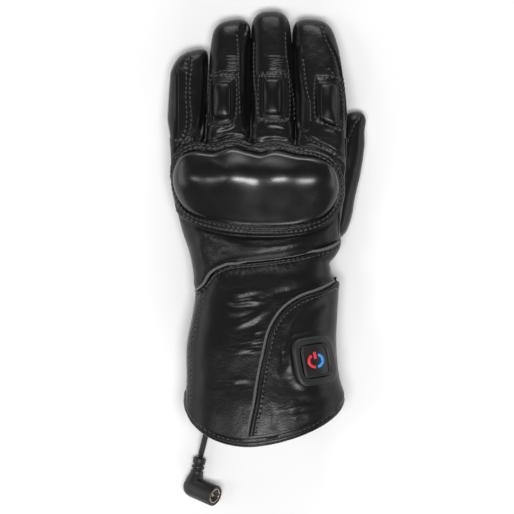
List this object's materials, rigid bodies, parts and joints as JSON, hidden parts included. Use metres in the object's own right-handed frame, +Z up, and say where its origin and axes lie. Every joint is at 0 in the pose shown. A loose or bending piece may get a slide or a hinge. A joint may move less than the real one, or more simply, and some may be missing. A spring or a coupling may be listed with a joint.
{
  "type": "heated gauntlet glove",
  "caption": "Padded leather gauntlet glove for the left hand with a moulded knuckle guard, a heat controller on the cuff and a short power lead with an angled socket.",
  "frame": {"origin": "on the surface that the glove lies on, under the heel of the hand, at the middle of the flat patch of the palm", "axes": "+X across the hand towards the thumb, +Y along the glove from the cuff to the fingertips, +Z up out of the back of the hand"},
  "size_m": [0.137, 0.3464, 0.0646],
  "materials": {
    "leather": "satin black grained leather",
    "panel_leather": "satin black grained leather",
    "pad_leather": "smooth black",
    "guard": "glossy black over a hard shell",
    "piping": "satin grey",
    "rubber": "matt black",
    "steel": "plated"
  },
  "bodies": {
    "root": {"hand_shell": "leather", "little_finger": "leather", "ring_finger": "leather", "ring_pad": "pad_leather", "middle_finger": "leather", "middle_pad": "pad_leather", "index_finger": "leather", "index_pad": "pad_leather", "thumb": "leather", "cuff": "leather", "cuff_flap": "panel_leather", "hem_binding": "panel_leather", "knuckle_guard": "guard", "wrist_piping": "piping", "flap_piping": "piping", "control_bezel": "rubber", "control_button": "rubber", "lead_grommet": "rubber", "lead": "rubber", "plug_body": "rubber", "plug_sleeve": "steel", "plug_pin": "steel"}
  },
  "joints": []
}
